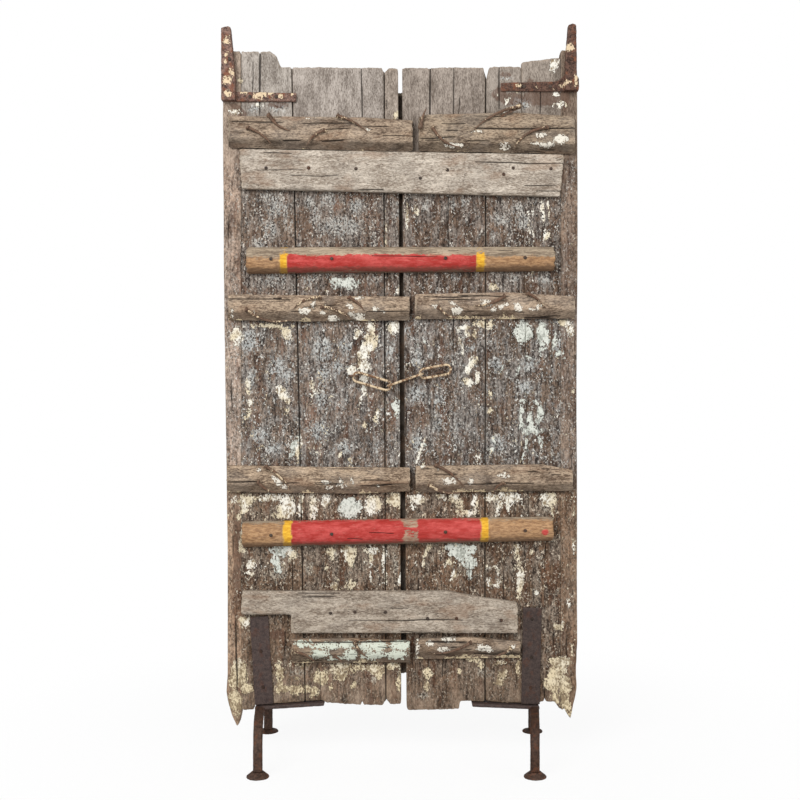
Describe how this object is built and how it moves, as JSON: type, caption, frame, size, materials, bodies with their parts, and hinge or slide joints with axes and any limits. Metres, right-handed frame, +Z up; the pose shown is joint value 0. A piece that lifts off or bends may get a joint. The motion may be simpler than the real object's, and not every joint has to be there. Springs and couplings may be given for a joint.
{
  "type": "plank door pair on iron stands",
  "caption": "Pair of weathered plank door leaves with battens, cross boards, painted half-round poles, pivot irons and a hooked chain, standing upright on forged iron stands.",
  "frame": {"origin": "on the floor under the middle of the doors' width and the stands' depth", "axes": "+X to the right seen from the battened face, +Y away from the battened face, +Z up"},
  "size_m": [0.95, 0.458, 1.946],
  "materials": {
    "plank_wood": "weathered grey with flaking blue-grey, white and cream paint over dark wood",
    "stile_wood": "worn smooth grey-brown, cream paint crust on the tusks",
    "batten_wood": "rough brown, worn edges",
    "board_wood": "pale sun-bleached, open grain",
    "pole_paint": "worn red paint with yellow bands and ochre ends over grey wood",
    "flaked_iron": "rust with flakes of cream paint",
    "dark_iron": "dull dark brown",
    "leg_iron": "rusty brown, dull",
    "nail_iron": "rusted",
    "chain_iron": "rusty wire with worn cream paint"
  },
  "bodies": {
    "doors": {"left_stile": "stile_wood", "left_outer_plank": "plank_wood", "left_middle_plank": "plank_wood", "left_inner_plank": "plank_wood", "right_inner_plank": "plank_wood", "right_middle_plank": "plank_wood", "right_outer_plank": "plank_wood", "right_stile": "stile_wood", "left_batten_1": "batten_wood", "left_batten_2": "batten_wood", "left_batten_3": "batten_wood", "left_batten_4": "batten_wood", "right_batten_1": "batten_wood", "right_batten_2": "batten_wood", "right_batten_3": "batten_wood", "right_batten_4": "batten_wood", "meeting_strip": "batten_wood", "upper_cross_board": "board_wood", "lower_cross_board": "board_wood", "upper_pole": "pole_paint", "lower_pole": "pole_paint", "left_pivot_iron": "flaked_iron", "right_pivot_iron": "flaked_iron", "pivot_iron_nails": "nail_iron", "left_batten_nails": "nail_iron", "right_batten_nails": "nail_iron", "cross_board_nails": "nail_iron", "pole_nails": "nail_iron", "strip_nails": "nail_iron", "left_staple": "nail_iron", "right_staple": "nail_iron", "left_front_strap": "dark_iron", "left_rear_strap": "dark_iron", "left_shelf_bar": "dark_iron", "left_front_leg": "leg_iron", "left_rear_leg": "leg_iron", "left_foot_pads": "dark_iron", "left_strap_screws": "nail_iron", "right_front_strap": "dark_iron", "right_rear_strap": "dark_iron", "right_shelf_bar": "dark_iron", "right_front_leg": "leg_iron", "right_rear_leg": "leg_iron", "right_foot_pads": "dark_iron", "right_strap_screws": "nail_iron"},
    "first_link": {"left_link": "chain_iron"},
    "second_link": {"middle_link": "chain_iron"},
    "third_link": {"right_link": "chain_iron"}
  },
  "joints": [
    {"name": "chain_swing", "type": "hinge", "parent": "doors", "child": "first_link", "pos_m": [-0.124, -0.0313, 1.011], "axis": [-0.279, 0, -0.9603], "range_deg": [0, 90]},
    {"name": "second_link_droop", "type": "hinge", "parent": "first_link", "child": "second_link", "pos_m": [-0.0322, -0.0313, 0.98433], "axis": [0, 1, 0], "range_deg": [0, 72]},
    {"name": "third_link_droop", "type": "hinge", "parent": "second_link", "child": "third_link", "pos_m": [0.06035, -0.0313, 1.01656], "axis": [0, 1, 0], "range_deg": [0, 45]}
  ],
  "couplings": [
    {"joint": "second_link_droop", "follows": "chain_swing", "ratio": 0.8},
    {"joint": "third_link_droop", "follows": "chain_swing", "ratio": 0.5}
  ]
}
